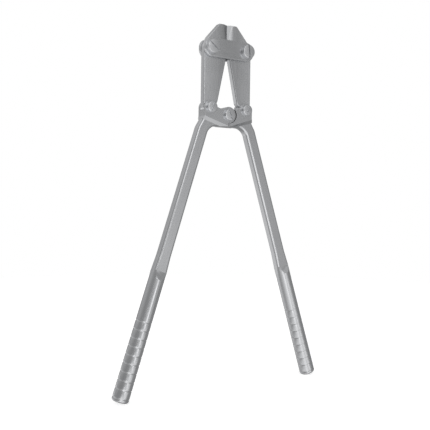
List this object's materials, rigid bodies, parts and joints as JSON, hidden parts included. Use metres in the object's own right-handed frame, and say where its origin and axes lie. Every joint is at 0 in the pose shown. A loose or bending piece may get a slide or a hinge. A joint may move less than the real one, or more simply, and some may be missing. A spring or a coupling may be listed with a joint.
{
  "type": "hoof nipper",
  "caption": "Compound-action nipper: bevelled jaws between link plates, worked by long forked handles with round grooved grips.",
  "frame": {"origin": "on the centre line, level with the lowest points of the two grips, midway between the front and the back of the tool", "axes": "+Z from the handle ends to the jaw tips, +X to the viewer's right across the tool, -Y the front, where the screw heads are; every pivot axis runs along Y"},
  "size_m": [0.3056, 0.0294, 0.4706],
  "materials": {
    "satin": "satin, fine belt-ground",
    "handle_steel": "satin, brushed along the arm",
    "screw_steel": "fine turned, slightly brighter",
    "bush_steel": "plain turned"
  },
  "bodies": {
    "links": {"front_link_plate": "satin", "rear_link_plate": "satin", "left_jaw_screw": "screw_steel", "right_jaw_screw": "screw_steel", "left_jaw_bush": "bush_steel", "right_jaw_bush": "bush_steel", "left_jaw_nut": "screw_steel", "right_jaw_nut": "screw_steel"},
    "left_jaw_body": {"left_jaw": "satin"},
    "right_jaw_body": {"right_jaw": "satin"},
    "left_handle_body": {"left_handle": "handle_steel", "left_tail_screw": "screw_steel", "left_tail_bush": "bush_steel", "left_tail_nut": "screw_steel", "centre_screw": "screw_steel", "centre_washer": "bush_steel", "centre_nut": "screw_steel"},
    "right_handle_body": {"right_handle": "handle_steel", "right_tail_screw": "screw_steel", "right_tail_bush": "bush_steel", "right_tail_nut": "screw_steel"}
  },
  "joints": [
    {"name": "left_jaw_turn", "type": "hinge", "parent": "links", "child": "left_jaw_body", "pos_m": [-0.0263, 0, 0.43822], "axis": [0, 1, 0], "range_deg": [-4.5, 0]},
    {"name": "right_jaw_turn", "type": "hinge", "parent": "links", "child": "right_jaw_body", "pos_m": [0.0263, 0, 0.43822], "axis": [0, 1, 0], "range_deg": [0, 4.5]},
    {"name": "left_handle_turn", "type": "hinge", "parent": "left_jaw_body", "child": "left_handle_body", "pos_m": [-0.0266, 0, 0.36242], "axis": [0, 1, 0], "range_deg": [0, 32]},
    {"name": "right_handle_turn", "type": "hinge", "parent": "right_jaw_body", "child": "right_handle_body", "pos_m": [0.0266, 0, 0.36242], "axis": [0, 1, 0], "range_deg": [-32, 0]}
  ],
  "couplings": [
    {"joint": "left_jaw_turn", "follows": "left_handle_turn", "ratio": -0.138},
    {"joint": "right_jaw_turn", "follows": "left_handle_turn", "ratio": 0.138},
    {"joint": "right_handle_turn", "follows": "left_handle_turn", "ratio": -1}
  ]
}
